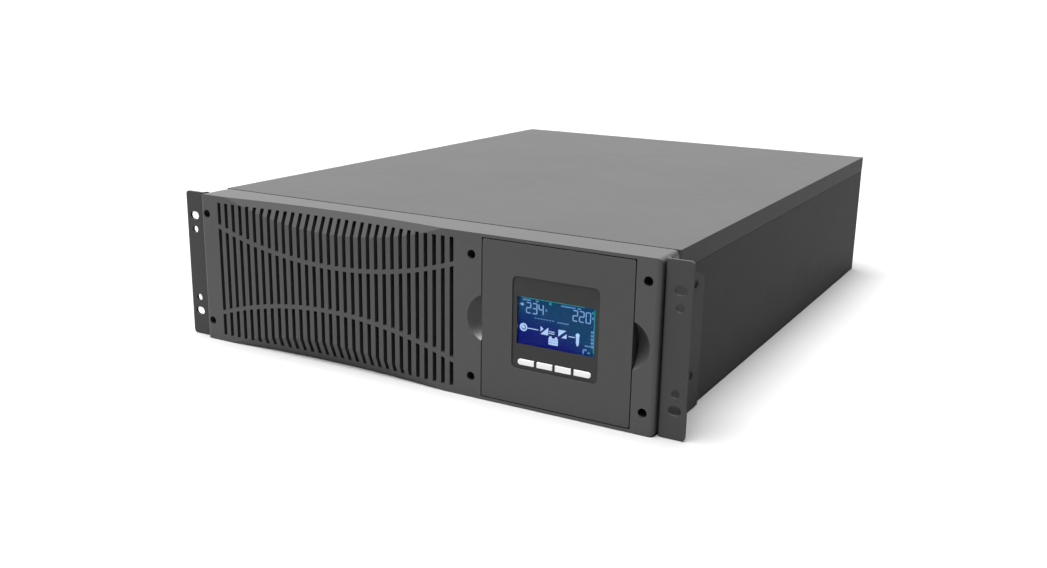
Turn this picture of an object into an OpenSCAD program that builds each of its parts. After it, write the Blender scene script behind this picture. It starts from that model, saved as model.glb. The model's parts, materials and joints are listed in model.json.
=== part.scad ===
// Rack-mount uninterruptible power supply, 3 rack units high.
// +Z is up, the front faces -Y and the origin is the centre of the footprint, on the floor.

/* [Case] */
// Width of the sheet-metal case
case_w = 440; // [430:1:442]
// Height of the front bezel and of the rack ears, 3 rack units
unit_h = 132.6; // [132.6:0.1:133.4]
// Depth from the bezel's face to the rear panel
case_d = 600; // [560:5:680]
// Thickness of the case's sheet metal
sheet_t = 1.2; // [1:0.1:1.5]
// Height of the cover's side flanges
cover_flange_h = 15.8; // [12:0.2:20]

/* [Rack ears] */
// Width over both ears
ear_span = 482.6; // [482:0.1:484]
// How far the ears stand behind the bezel's face
ear_setback = 5; // [3:0.5:10]
// Depth of the leg that lies along the case
ear_leg_d = 75; // [60:1:100]
// Thickness of an ear
ear_t = 2.5; // [2:0.1:3]

/* [Bezel] */
// Width of the bezel
bezel_w = 439; // [436:0.5:439]
// Depth of the bezel's rim
bezel_d = 32; // [28:1:32]
// Wall thickness of the bezel
bezel_wall = 2.5; // [2:0.1:2.5]
// Radius of the bezel's corners
bezel_corner_r = 4; // [2:0.5:6]

/* [Grille] */
// Number of upright slots
slot_count = 31; // [21:2:31]
// Width of one slot
slot_w = 3.6; // [3:0.1:4]
// Distance from slot to slot
slot_pitch = 8.1; // [7.5:0.1:8.1]
// Height of the slots
slot_h = 121; // [110:1:121]
// Thickness of the slotted block
grille_t = 12; // [10:0.5:12]
// Radius of the two ribs that cross the slots
rib_r = 385; // [350:5:420]
// Height of a rib's low point above the middle of the face
rib_rise = 19.2; // [15:0.2:24]
// Width of a rib
rib_w = 3.4; // [2.5:0.1:4.5]
// Radius of the scooped facets
scoop_r = 350; // [330:5:400]
// Height of a scooped facet at its middle
scoop_h = 19; // [14:0.5:22]
// Depth of a scooped facet at the edge
scoop_d = 7.5; // [5:0.5:8]

/* [Display panel] */
// Side length of the square display panel
panel_w = 126; // [120:1:126]
// Gap round the display panel
panel_gap = 0.8; // [0.6:0.1:1]
// Depth of the display panel
panel_d = 16; // [15:1:17]
// Travel of a key
key_travel = 0.8; // [0.5:0.1:1]
// Width of the display window
lcd_w = 65; // [56:1:66]
// Height of the display window
lcd_h = 37.2; // [32:0.2:40]

/* [Inside] */
// Number of battery blocks in a row, front to back
battery_rows = 4; // [3:1:4]
// Diameter of a fan's air hole
fan_hole_d = 76; // [70:1:76]
// Number of blades of a fan rotor
blade_count = 7; // [5:1:9]

/* [Hidden] */
$fn = 64;

// Colours
charcoal = [0.21, 0.21, 0.22];
cover_grey = [0.27, 0.27, 0.28];
black = [0.06, 0.06, 0.06];
steel = [0.62, 0.63, 0.65];
zinc = [0.72, 0.73, 0.70];
board_green = [0.07, 0.28, 0.16];
copper = [0.78, 0.44, 0.22];
brass = [0.80, 0.66, 0.32];
white = [0.92, 0.92, 0.90];

// A small overlap that keeps cuts clean
eps = 0.2;

// Main planes. Depths are measured from the bezel's face, towards the rear.
rear_reach = 18;
face_y = -(case_d + rear_reach) / 2;
mid_z = unit_h / 2;
half_w = case_w / 2;
seam = 2.4;
shell_front_d = bezel_d + seam;
cover_top_z = unit_h;
lip_gap = 0.2;
tray_top_z = cover_top_z - sheet_t - lip_gap;
flange_bottom_z = cover_top_z - cover_flange_h;
joggle = sheet_t + 0.1;
lip_w = 10;
frame_d = shell_front_d + 0.8;
cover_lip_h = 13;
cover_screw_xs = [-205, -120, 70, 205];
cover_screw_z = cover_top_z - 8;

// Grille
grille_x = -75.5;
slot_span = (slot_count - 1) * slot_pitch;
grille_margin = 6;
grille_w = slot_span + slot_w + 2 * grille_margin;
facet_slope = scoop_h / scoop_d;

// Screws through the bezel, in posts that stand on the front frame
bezel_screw_xs = [-212, 64, 210];
bezel_screw_rise = 49.1;
post_r = 5.6;
post_end_d = frame_d - 0.1;
screw_hole_r = 3.6;
screw_seat_d = 14;

// Display panel, measured from its own middle
panel_x = 137;
opening_w = panel_w + 2 * panel_gap;
plate_t = 3;
recess_r = 19.4;
recess_reach = 13.5;
recess_d = 10;
recess_offset = panel_w / 2 - recess_r + recess_reach;
pocket_back_d = 20;
surround_w = 72.4;
surround_h = 72.4;
surround_rise = 1.6;
surround_d = 0.8;
surround_t = 2.6;
surround_r = 4.5;
lcd_rise = 3.7;
lens_t = 1;
lens_d = 1.8;
lcd_d = 4.2;
lcd_t = 3.6;
board_d = 10;
board_t = 1.6;
board_post = 50;
key_rise = -29;
key_pitch = 15.7;
key_w = 13.3;
key_h = 4.5;
end_key_extra = 0.7;
key_gap = 0.3;
key_stem_r = 2;
switch_t = 3.4;

// Rack ears
ear_hole_x = 465.1 / 2;
ear_hole_rise = 88.9 / 2;
ear_hole_r = 3.5;
ear_hole_w = 10;
small_hole_rise = 63.5 / 2;
small_hole_r = 3.2;
ear_corner_r = 3;
ear_slope_d = 8;
ear_leg_end_z = 103.6;
ear_screw_d = 59;
ear_screw_rise = 36;
ear_bend_r = 3;

// Batteries
battery_size = [151, 65, 94];
battery_gap = 2;
battery_x = -58;
battery_front_d = 46;
battery_z = 2.8;
battery_bay_x = [battery_x - battery_size[0] - 4, battery_x + battery_size[0] + 4];
battery_bay_d = [battery_front_d - 3, battery_front_d + battery_rows * (battery_size[1] + battery_gap) + 1];
tab_w = 6.4;
tab_x = 12;
tab_y = 10;

// Boards
power_board_z = 12;
control_board_z = 20;
power_board_d = [330, 560];
control_board_x = [106, 208];
control_board_d = [70, 300];
power_post_xs = [-190, 0, 190];
power_post_ds = [power_board_d[0] + 10, power_board_d[1] - 10];
control_post_xs = [control_board_x[0] + 6, control_board_x[1] - 6];
control_post_ds = [control_board_d[0] + 8, control_board_d[1] - 8];
board_hole_r = 1.7;
sink_d = [350, 530];
sink_xs = [-170, -90];
fin_count = 9;
fin_pitch = 7;

// Fans
fan_xs = [-165, -75];
fan_size = 80;
fan_depth = 25;
fan_z = 66;
fan_shaft_r = 1.5;
fan_bore_r = 1.55;
hub_r = 16;
blade_r = 36.5;
fan_screw_pitch = 71.5;

// Rear panel fittings
slot_x = 22;
ports_z = 106;
serial_x = 86;
usb_x = 118;
stop_x = 140;
battery_socket_x = 182;
terminal_x = 32;
terminal_z = 45;
terminal_w = 92;
terminal_h = 62;
terminal_d = 12;
gland_r = 9;
gland_bore_r = 6;
gland_offset = 17;
gland_z = terminal_z - 12;
breaker_x = 106;
breaker_z = 45;
breaker_w = 36;
breaker_h = 46;
lever_d = case_d - 2;
lever_pin = 26;
lever_pin_r = 1.5;
lever_bore_r = 1.55;
outlet_xs = [148, 190];
outlet_zs = [29, 61];
outlet_w = 34;
outlet_h = 25;
stud_x = -20;
stud_z = 14;

// ---------- shared shapes ----------

// A box between two depths, measured from the bezel's face
module block(x, d, z) {
    translate([x[0], face_y + d[0], z[0]]) cube([x[1] - x[0], d[1] - d[0], z[1] - z[0]]);
}

// An outline in X and Z, extruded from one depth to another
module along_depth(d) {
    translate([0, face_y + d[1], 0]) rotate([90, 0, 0]) linear_extrude(d[1] - d[0]) children();
}

// A rod along the depth
module rod(x, z, r, d) {
    translate([x, face_y + d[0], z]) rotate([-90, 0, 0]) cylinder(r = r, h = d[1] - d[0]);
}

// A rod along the depth, stretched sideways to the width w
module oval_rod(x, z, r, w, d) {
    reach = w / 2 - r;
    for (side = [-1, 1]) rod(x + side * reach, z, r, d);
    block([x - reach, x + reach], d, [z - r, z + r]);
}

// A rod across the width
module cross_rod(x, d, z, r) {
    translate([x[0], face_y + d, z]) rotate([0, 90, 0]) cylinder(r = r, h = x[1] - x[0]);
}

// A rectangle with round corners, centred
module round_rect(w, h, r) {
    square([w - 2 * r, h], center = true);
    square([w, h - 2 * r], center = true);
    for (sx = [-1, 1], sz = [-1, 1]) translate([sx * (w / 2 - r), sz * (h / 2 - r)]) circle(r);
}

// A pan-head screw along the depth, with its head towards the front (dir 1) or the rear (dir -1)
module screw(x, z, d, dir, head_r, head_t, shank_r, length) {
    translate([x, face_y + d, z]) rotate([dir > 0 ? -90 : 90, 0, 0]) difference() {
        union() {
            cylinder(r = head_r, h = head_t);
            cylinder(r = shank_r, h = length);
        }
        for (turn = [0, 90]) rotate([0, 0, turn])
            translate([-head_r * 0.6, -head_r * 0.12, -eps])
                cube([head_r * 1.2, head_r * 0.24, head_t * 0.6 + eps]);
    }
}

// ---------- case ----------

// One side wall of the tray: a wall, a step inwards and a lip along the top
module tray_side(side) {
    step_z = flange_bottom_z - 0.25;
    inner_x = half_w - joggle;
    d = [shell_front_d, case_d];
    mirror([side > 0 ? 0 : 1, 0, 0]) {
        block([half_w - sheet_t, half_w], d, [0, step_z]);
        block([inner_x - sheet_t, half_w], d, [step_z - sheet_t, step_z]);
        block([inner_x - sheet_t, inner_x], d, [step_z - sheet_t, tray_top_z]);
        block([inner_x - lip_w, inner_x], d, [tray_top_z - sheet_t, tray_top_z]);
    }
}

// Bottom and side walls, one folded sheet
module base_tray() {
    color(charcoal) difference() {
        union() {
            block([-half_w, half_w], [shell_front_d, case_d], [0, sheet_t]);
            tray_side(1);
            tray_side(-1);
        }
        for (side = [-1, 1], rise = [-1, 1])
            cross_rod([side * half_w - 4, side * half_w + 4], ear_screw_d,
                mid_z + rise * ear_screw_rise, 2);
    }
}

// Top sheet with a flange down each side and a screwed lip over the rear panel
module top_cover() {
    color(cover_grey) {
        block([-half_w, half_w], [shell_front_d, case_d], [cover_top_z - sheet_t, cover_top_z]);
        for (side = [-1, 1]) {
            x = side > 0 ? half_w - sheet_t : -half_w;
            block([x, x + sheet_t], [shell_front_d, case_d], [flange_bottom_z, cover_top_z]);
        }
        difference() {
            block([-half_w, half_w], [case_d, case_d + sheet_t], [cover_top_z - cover_lip_h, cover_top_z]);
            for (x = cover_screw_xs) rod(x, cover_screw_z, 2, [case_d - 1, case_d + 3]);
        }
    }
}

module cover_screws() {
    color(black) for (x = cover_screw_xs)
        screw(x, cover_screw_z, case_d + sheet_t + 1.8, -1, 3.4, 1.8, 1.55, 9);
}

// Rear sheet with a hole for each fitting
module rear_panel() {
    inner_w = half_w - joggle - sheet_t - lip_gap;
    panel_front = case_d - sheet_t;
    z = [sheet_t + lip_gap, tray_top_z - sheet_t - lip_gap];
    color(charcoal) difference() {
        union() {
            block([-inner_w, inner_w], [panel_front, case_d], z);
            for (side = [-1, 1]) {
                x = side > 0 ? inner_w - sheet_t : -inner_w;
                block([x, x + sheet_t], [panel_front - 12, case_d], z);
            }
        }
        cut = [panel_front - eps, case_d + eps];
        for (x = fan_xs) {
            rod(x, fan_z, fan_hole_d / 2, cut);
            for (sx = [-1, 1], sz = [-1, 1])
                rod(x + sx * fan_screw_pitch / 2, fan_z + sz * fan_screw_pitch / 2, 2.2, cut);
        }
        for (x = cover_screw_xs) rod(x, cover_screw_z, 1.6, cut);
        block([serial_x - 9.5, serial_x + 9.5], cut, [ports_z - 5.5, ports_z + 5.5]);
        block([usb_x - 6.2, usb_x + 6.2], cut, [ports_z - 5.7, ports_z + 5.7]);
        block([stop_x - 6, stop_x + 6], cut, [ports_z - 5, ports_z + 5]);
        block([battery_socket_x - 20, battery_socket_x + 20], cut, [ports_z - 9.2, ports_z + 9.2]);
        block([slot_x - 27, slot_x + 27], cut, [ports_z - 10, ports_z + 10]);
        for (side = [-1, 1]) rod(slot_x + side * 33, ports_z, 1.6, cut);
        block([terminal_x - 34, terminal_x + 34], cut, [terminal_z - 16, terminal_z + 16]);
        block([breaker_x - breaker_w / 2, breaker_x + breaker_w / 2], cut,
            [breaker_z - breaker_h / 2, breaker_z + breaker_h / 2]);
        for (x = outlet_xs, z = outlet_zs)
            block([x - outlet_w / 2 + 2.5, x + outlet_w / 2 - 2.5], cut,
                [z - outlet_h / 2 + 2, z + outlet_h / 2 - 2]);
        for (sx = [-1, 1], sz = [-1, 1])
            rod(terminal_x + sx * (terminal_w / 2 - 4), terminal_z + sz * (terminal_h / 2 - 4), 1.6, cut);
        rod(stud_x, stud_z, 2.6, cut);
    }
}

// Upright sheet behind the bezel, with a window for the air and one for the panel's plug
module front_frame() {
    inner_w = half_w - joggle - sheet_t - lip_gap;
    cut = [frame_d - eps, frame_d + sheet_t + eps];
    color(steel) difference() {
        block([-inner_w, inner_w], [frame_d, frame_d + sheet_t],
            [sheet_t + lip_gap, tray_top_z - sheet_t - lip_gap]);
        block([-200, 52], cut, [8, 122]);
        block([panel_x - 30, panel_x + 30], cut, [mid_z - 30, mid_z + 30]);
        for (x = bezel_screw_xs, side = [-1, 1]) rod(x, mid_z + side * bezel_screw_rise, 1.6, cut);
    }
}

// ---------- bezel ----------

module bezel_outline() {
    translate([0, mid_z]) round_rect(bezel_w, unit_h, bezel_corner_r);
}

// The slots, without the ribs that cross them
module slots() {
    difference() {
        for (i = [0 : slot_count - 1]) {
            x = grille_x - slot_span / 2 + i * slot_pitch;
            block([x - slot_w / 2, x + slot_w / 2], [-eps, grille_t + eps],
                [mid_z - slot_h / 2, mid_z + slot_h / 2]);
        }
        for (side = [-1, 1]) {
            z = mid_z + side * (rib_rise + rib_r);
            difference() {
                rod(grille_x, z, rib_r + rib_w / 2, [-1, grille_t + 1]);
                rod(grille_x, z, rib_r - rib_w / 2, [-2, grille_t + 2]);
            }
        }
    }
}

// A cone with its axis along the depth, which leaves a facet that leans back towards the edge
module scoop(side) {
    deep = scoop_d + 2;
    z = mid_z + side * (mid_z - scoop_h + scoop_r);
    translate([grille_x, face_y - 1, z]) rotate([-90, 0, 0])
        cylinder(r1 = scoop_r + facet_slope, r2 = scoop_r - deep * facet_slope, h = deep + 1, $fn = 128);
}

// The bezel seen from above, with rounded front corners
module bezel_plan() {
    translate([-bezel_w / 2, face_y]) {
        translate([bezel_corner_r, 0]) square([bezel_w - 2 * bezel_corner_r, post_end_d]);
        translate([0, bezel_corner_r]) square([bezel_w, post_end_d - bezel_corner_r]);
        for (x = [bezel_corner_r, bezel_w - bezel_corner_r])
            translate([x, bezel_corner_r]) circle(bezel_corner_r);
    }
}

// The hollow for a fingertip beside the display panel: a shallow dish
module finger_dish(side) {
    ball_r = (recess_r * recess_r + recess_d * recess_d) / (2 * recess_d);
    translate([panel_x + side * recess_offset, face_y + recess_d - ball_r, mid_z])
        rotate([90, 0, 0]) sphere(ball_r, $fn = 96);
}

// Moulded front with the grille, the opening for the panel, the dishes and the screw posts
module front_bezel() {
    opening_x = [panel_x - opening_w / 2, panel_x + opening_w / 2];
    color(charcoal) difference() {
        intersection() {
            translate([0, 0, -1]) linear_extrude(unit_h + 2) bezel_plan();
            union() {
                along_depth([0, plate_t]) bezel_outline();
                along_depth([0, bezel_d]) difference() {
                    bezel_outline();
                    translate([0, mid_z])
                        square([bezel_w - 2 * bezel_wall, unit_h - 2 * bezel_wall], center = true);
                }
                block([grille_x - grille_w / 2, grille_x + grille_w / 2], [0, grille_t], [1, unit_h - 1]);
                for (x = bezel_screw_xs, side = [-1, 1])
                    rod(x, mid_z + side * bezel_screw_rise, post_r, [0, post_end_d]);
                for (side = [-1, 1])
                    rod(panel_x + side * recess_offset, mid_z, recess_r + 1.6, [0, recess_d + 2]);
            }
        }
        slots();
        scoop(1);
        scoop(-1);
        block(opening_x, [-eps, bezel_d], [mid_z - opening_w / 2, mid_z + opening_w / 2]);
        for (side = [-1, 1]) finger_dish(side);
        for (x = bezel_screw_xs, side = [-1, 1]) {
            rod(x, mid_z + side * bezel_screw_rise, screw_hole_r, [-eps, screw_seat_d]);
            rod(x, mid_z + side * bezel_screw_rise, 1.7, [0, post_end_d + 1]);
        }
    }
}

module bezel_screws() {
    color(black) for (x = bezel_screw_xs, side = [-1, 1])
        screw(x, mid_z + side * bezel_screw_rise, screw_seat_d - 2.2, 1, 3.1, 2.2, 1.55, 25);
}

// Foam sheet behind the grille
module dust_filter() {
    color(black) block([grille_x - grille_w / 2, grille_x + grille_w / 2], [grille_t + 0.3, grille_t + 3.3],
        [bezel_wall + 1, unit_h - bezel_wall - 1]);
}

// ---------- rack ears ----------

// The right-hand ear seen from above: a flange, a rounded bend and a leg along the case
module ear_profile() {
    translate([half_w, ear_setback]) difference() {
        union() {
            square([ear_t, ear_leg_d]);
            square([ear_span / 2 - half_w, ear_t]);
        }
        difference() {
            translate([-1, -1]) square([ear_bend_r + 1, ear_bend_r + 1]);
            translate([ear_bend_r, ear_bend_r]) circle(ear_bend_r);
        }
    }
}

// The wedge cut off the top of an ear's leg
module ear_leg_slope() {
    back_d = ear_setback + ear_leg_d + 1;
    translate([half_w - 1, face_y, 0]) rotate([90, 0, 90]) linear_extrude(ear_t + 2)
        polygon([[ear_slope_d, unit_h + 1], [back_d, unit_h + 1], [back_d, ear_leg_end_z]]);
}

// One rack ear, with its holes
module rack_ear(side) {
    flip = side > 0 ? 0 : 1;
    cut = [ear_setback - eps, ear_setback + ear_t + eps];
    color(charcoal) mirror([flip, 0, 0]) difference() {
        translate([0, face_y, 0]) linear_extrude(unit_h) ear_profile();
        ear_leg_slope();
        for (rise = [-1, 1]) {
            oval_rod(ear_hole_x, mid_z + rise * ear_hole_rise, ear_hole_r, ear_hole_w, cut);
            rod(ear_hole_x, mid_z + rise * small_hole_rise, small_hole_r, cut);
            cross_rod([half_w - 1, half_w + ear_t + 1], ear_screw_d, mid_z + rise * ear_screw_rise, 2.2);
            translate([ear_span / 2, 0, mid_z + rise * mid_z]) ear_corner_cut(rise);
        }
    }
}

// Rounds one outer corner of an ear
module ear_corner_cut(rise) {
    translate([0, face_y + ear_setback + ear_t + 1, 0]) rotate([90, 0, 0]) linear_extrude(ear_t + 2)
        difference() {
            translate([-ear_corner_r, rise > 0 ? -ear_corner_r : -1])
                square([ear_corner_r + 1, ear_corner_r + 1]);
            translate([-ear_corner_r, -rise * ear_corner_r]) circle(ear_corner_r);
        }
}

module rack_ear_left() {
    rack_ear(-1);
}

module rack_ear_right() {
    rack_ear(1);
}

module ear_screws() {
    color(black) for (side = [-1, 1], rise = [-1, 1])
        translate([side * (half_w + ear_t), face_y + ear_screw_d, mid_z + rise * ear_screw_rise])
            rotate([0, side * 90, 0]) difference() {
                union() {
                    cylinder(r1 = 3.6, r2 = 2.8, h = 1.7);
                    translate([0, 0, -8]) cylinder(r = 1.95, h = 9);
                }
                for (turn = [0, 90]) rotate([0, 0, turn]) translate([-2, -0.45, 0.7]) cube([4, 0.9, 2]);
            }
}

// ---------- display panel ----------

// The box that the display panel sits in, open to the finger dishes, with a hole for the plug
module panel_pocket() {
    wall_x = opening_w / 2 + 0.2;
    window_h = 2 * recess_r + 5;
    z = [bezel_wall + 0.2, unit_h - bezel_wall - 0.2];
    color(black) {
        difference() {
            block([panel_x - wall_x - 2, panel_x + wall_x + 2], [pocket_back_d, pocket_back_d + 2], z);
            block([panel_x - 12, panel_x + 12], [pocket_back_d - 1, pocket_back_d + 3],
                [mid_z - 6, mid_z + 6]);
        }
        for (side = [-1, 1]) difference() {
            x = panel_x + side * (wall_x + 1);
            block([x - 1, x + 1], [plate_t + 0.2, pocket_back_d + 1], z);
            block([x - 2, x + 2], [plate_t - 1, recess_d + 2.4],
                [mid_z - window_h / 2, mid_z + window_h / 2]);
        }
    }
}

// The window that the surround sits in
module surround_outline(grow) {
    translate([panel_x, mid_z + surround_rise])
        round_rect(surround_w + 2 * grow, surround_h + 2 * grow, surround_r);
}

// The square front shell, with four posts for its board
module display_panel() {
    inner = panel_w / 2 - 2;
    color(charcoal) difference() {
        along_depth([0, panel_d]) translate([panel_x, mid_z]) round_rect(panel_w, panel_w, 1.5);
        block([panel_x - inner, panel_x + inner], [plate_t, panel_d + eps], [mid_z - inner, mid_z + inner]);
        along_depth([-eps, plate_t + eps]) surround_outline(0.15);
    }
    color(charcoal) for (sx = [-1, 1], sz = [-1, 1]) difference() {
        rod(panel_x + sx * board_post, mid_z + sz * board_post, 3, [plate_t - 0.5, board_d]);
        rod(panel_x + sx * board_post, mid_z + sz * board_post, 1.3, [plate_t + 1, board_d + eps]);
    }
}

// Closes the panel's shell from behind, round the plug
module display_back_cover() {
    half = panel_w / 2 - 2.2;
    color(black) difference() {
        block([panel_x - half, panel_x + half], [panel_d - 2, panel_d], [mid_z - half, mid_z + half]);
        block([panel_x - 12, panel_x + 12], [panel_d - 3, panel_d + 1], [mid_z - 6, mid_z + 6]);
    }
}

// Four small ribs that hold the panel in its opening
module panel_latches() {
    color(black) for (sx = [-1, 1], sz = [-1, 1]) {
        z = mid_z + sz * (panel_w / 2 + 0.2);
        block([panel_x + sx * 42 - 5, panel_x + sx * 42 + 5], [8, 12], [z - 0.2, z + 0.2]);
    }
}

// A key's outline seen from the front: the two end keys are longer, with a round outer end
module key_outline(i, grow) {
    w = key_w + 2 * grow;
    h = key_h + 2 * grow;
    outward = i == 0 ? -1 : i == 3 ? 1 : 0;
    translate([panel_x + (i - 1.5) * key_pitch, mid_z + key_rise]) {
        if (outward == 0) {
            square([w, h], center = true);
        } else {
            reach = w / 2 + end_key_extra - h / 2;
            translate([outward * (reach - w / 2) / 2, 0]) square([reach + w / 2, h], center = true);
            translate([outward * reach, 0]) circle(h / 2);
        }
    }
}

// The darker frame round the display and the keys
module display_surround() {
    back = surround_d + surround_t;
    color(black) difference() {
        along_depth([surround_d, back]) surround_outline(0);
        block([panel_x - lcd_w / 2, panel_x + lcd_w / 2], [-1, back + 1],
            [mid_z + lcd_rise - lcd_h / 2, mid_z + lcd_rise + lcd_h / 2]);
        for (i = [0 : 3]) along_depth([-1, back + 1]) key_outline(i, key_gap);
    }
}

module display_lens() {
    w = lcd_w / 2 - 0.1;
    h = lcd_h / 2 - 0.1;
    color([0.55, 0.65, 0.75]) block([panel_x - w, panel_x + w], [lens_d, lens_d + lens_t],
        [mid_z + lcd_rise - h, mid_z + lcd_rise + h]);
}

// The display itself, a rim wider than its window
module lcd_module() {
    w = lcd_w / 2 + 2;
    h = lcd_h / 2 + 2;
    color([0.05, 0.16, 0.55]) block([panel_x - w, panel_x + w], [lcd_d, lcd_d + lcd_t],
        [mid_z + lcd_rise - h, mid_z + lcd_rise + h]);
}

// The panel's circuit board, with the plug that reaches back through the pocket
module display_board() {
    half = panel_w / 2 - 6;
    color(board_green) difference() {
        block([panel_x - half, panel_x + half], [board_d + 0.2, board_d + 0.2 + board_t],
            [mid_z - half, mid_z + half]);
        for (sx = [-1, 1], sz = [-1, 1])
            rod(panel_x + sx * board_post, mid_z + sz * board_post, 1.6, [board_d - 1, board_d + 3]);
    }
    color(black) block([panel_x - 10, panel_x + 10], [board_d + board_t, panel_d + 2],
        [mid_z - 4, mid_z + 4]);
}

module panel_screws() {
    color(zinc) for (sx = [-1, 1], sz = [-1, 1])
        screw(panel_x + sx * board_post, mid_z + sz * board_post, board_d + board_t + 1.4,
            -1, 2.4, 1.2, 1.25, 8);
}

// One push switch under each key
module key_switches() {
    color(steel) for (i = [0 : 3]) {
        x = panel_x + (i - 1.5) * key_pitch;
        z = mid_z + key_rise;
        block([x - 3, x + 3], [board_d - switch_t, board_d + 0.2], [z - 3, z + 3]);
    }
}

// A key with a flange that keeps it behind the surround and a stem down to its switch
module key(i) {
    x = panel_x + (i - 1.5) * key_pitch;
    front = surround_d - key_travel;
    flange_d = surround_d + surround_t + 0.2;
    color(white) {
        along_depth([front, flange_d + 0.8]) key_outline(i, 0);
        along_depth([flange_d, flange_d + 0.8]) key_outline(i, 0.5);
        rod(x, mid_z + key_rise, key_stem_r, [flange_d, board_d - switch_t - key_travel - 0.2]);
    }
}

module key_escape() {
    key(0);
}

module key_up() {
    key(1);
}

module key_down() {
    key(2);
}

module key_enter() {
    key(3);
}

// ---------- batteries ----------

// Calls its children at the corner of each battery block
module each_battery() {
    for (column = [0, 1], row = [0 : battery_rows - 1])
        translate([
            battery_x + (column - 1) * (battery_size[0] + battery_gap) + battery_gap / 2,
            face_y + battery_front_d + row * (battery_size[1] + battery_gap),
            battery_z
        ]) children();
}

// Open-topped sheet tray round all the battery blocks
module battery_tray() {
    color(zinc) {
        block(battery_bay_x, battery_bay_d, [1.5, 2.6]);
        for (x = [battery_bay_x[0], battery_bay_x[1] - 1.2])
            block([x, x + 1.2], battery_bay_d, [1.5, 45]);
        block(battery_bay_x, [battery_bay_d[1] - 1.2, battery_bay_d[1]], [1.5, 45]);
        block(battery_bay_x, [battery_bay_d[0], battery_bay_d[0] + 1.2], [1.5, 16]);
    }
}

// Each block is a case with a lid that is a little smaller
module battery_blocks() {
    lid = 0.6;
    color(black) each_battery() {
        cube([battery_size[0], battery_size[1], battery_size[2] - 8]);
        translate([lid, lid, battery_size[2] - 8.2])
            cube([battery_size[0] - 2 * lid, battery_size[1] - 2 * lid, 8.2]);
    }
}

// Two blade terminals on each block
module battery_terminals() {
    color(brass) each_battery() for (x = [tab_x, battery_size[0] - tab_x])
        translate([x - tab_w / 2, tab_y, battery_size[2]]) {
            cube([tab_w, 8, 1]);
            cube([tab_w, 0.8, 8]);
        }
}

// Straps from each block to the next one behind it
module battery_links() {
    pitch = battery_size[1] + battery_gap;
    for (column = [0, 1], row = [0 : battery_rows - 2]) {
        side = row % 2 == 0 ? tab_x : battery_size[0] - tab_x;
        x = battery_x + (column - 1) * (battery_size[0] + battery_gap) + battery_gap / 2 + side;
        d = battery_front_d + row * pitch + tab_y + 0.9;
        z = battery_z + battery_size[2] + 3;
        color(copper) block([x - 3, x + 3], [d, d + pitch - 1], [z, z + 1.5]);
    }
}

// Screwed bar that keeps the tray from sliding forwards
module battery_retainer() {
    x = [battery_bay_x[0] + 4, battery_bay_x[1] - 4];
    color(zinc) difference() {
        union() {
            block(x, [frame_d + 2.2, frame_d + 3.7], [2, 34]);
            block(x, [frame_d + 2.2, frame_d + 6.8], [32.5, 34]);
        }
        for (side = [-1, 1]) rod(battery_x + side * 120, 18, 2.1, [frame_d, frame_d + 6]);
    }
}

// ---------- power electronics ----------

module power_board() {
    color(board_green) difference() {
        block([-200, 200], power_board_d, [power_board_z, power_board_z + board_t]);
        for (x = power_post_xs, d = power_post_ds)
            translate([x, face_y + d, 0]) cylinder(r = board_hole_r, h = 30);
    }
}

// Board beside the batteries, with a row of four chips
module control_board() {
    top = control_board_z + board_t;
    chip_x = control_board_x[0] + 20;
    color(board_green) difference() {
        block(control_board_x, control_board_d, [control_board_z, top]);
        for (x = control_post_xs, d = control_post_ds)
            translate([x, face_y + d, 0]) cylinder(r = board_hole_r, h = 30);
    }
    color(black) for (i = [0 : 3]) {
        chip_d = control_board_d[0] + 30 + i * 48;
        block([chip_x, chip_x + 24], [chip_d, chip_d + 24], [top - 0.2, top + 3]);
    }
}

// Hexagonal posts under both boards
module board_standoffs() {
    color(brass) {
        for (x = power_post_xs, d = power_post_ds)
            translate([x, face_y + d, sheet_t]) cylinder(r = 3, h = power_board_z - sheet_t, $fn = 6);
        for (x = control_post_xs, d = control_post_ds)
            translate([x, face_y + d, sheet_t]) cylinder(r = 3, h = control_board_z - sheet_t, $fn = 6);
    }
}

// Two finned sinks, each on two feet
module heat_sinks() {
    board_top = power_board_z + board_t;
    color([0.7, 0.71, 0.72]) for (x = sink_xs) {
        block([x - 30, x + 30], sink_d, [board_top + 14, board_top + 20]);
        for (i = [0 : fin_count - 1]) {
            fin_x = x - 29 + i * fin_pitch;
            block([fin_x, fin_x + 2], sink_d, [board_top + 19.5, board_top + 74]);
        }
        for (side = [-1, 1])
            block([x + side * 25 - 3, x + side * 25 + 3], sink_d, [board_top, board_top + 14.5]);
    }
}

module toroid_chokes() {
    color(copper) for (d = [375, 445])
        translate([90, face_y + d, power_board_z + board_t + 12.1])
            rotate_extrude() translate([18, 0]) circle(11.9);
}

module dc_capacitors() {
    color([0.12, 0.14, 0.2]) for (x = [-20, 20], i = [0 : 3])
        translate([x, face_y + 360 + i * 40, power_board_z + board_t]) cylinder(r = 17, h = 52);
}

// A closed core round a wound coil
module transformer() {
    z = power_board_z + board_t;
    core_d = [352, 400];
    color([0.25, 0.24, 0.23]) {
        block([126, 190], core_d, [z, z + 12]);
        block([126, 190], core_d, [z + 44, z + 56]);
        for (x = [126, 178]) block([x, x + 12], core_d, [z + 11, z + 45]);
    }
    color(copper) block([142, 174], [348, 404], [z + 12.5, z + 43.5]);
}

module relays() {
    z = power_board_z + board_t;
    color(black) for (i = [0 : 3]) block([140, 168], [425 + i * 20, 440 + i * 20], [z, z + 25]);
}

// Three film capacitors and a wound ring
module mains_filter() {
    z = power_board_z + board_t;
    color([0.75, 0.65, 0.2]) for (i = [0 : 2]) block([40, 70], [500 + i * 14, 510 + i * 14], [z, z + 22]);
    color(copper) translate([110, face_y + 520, z + 9.1]) rotate_extrude() translate([14, 0]) circle(9);
}

// ---------- fans ----------

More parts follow.
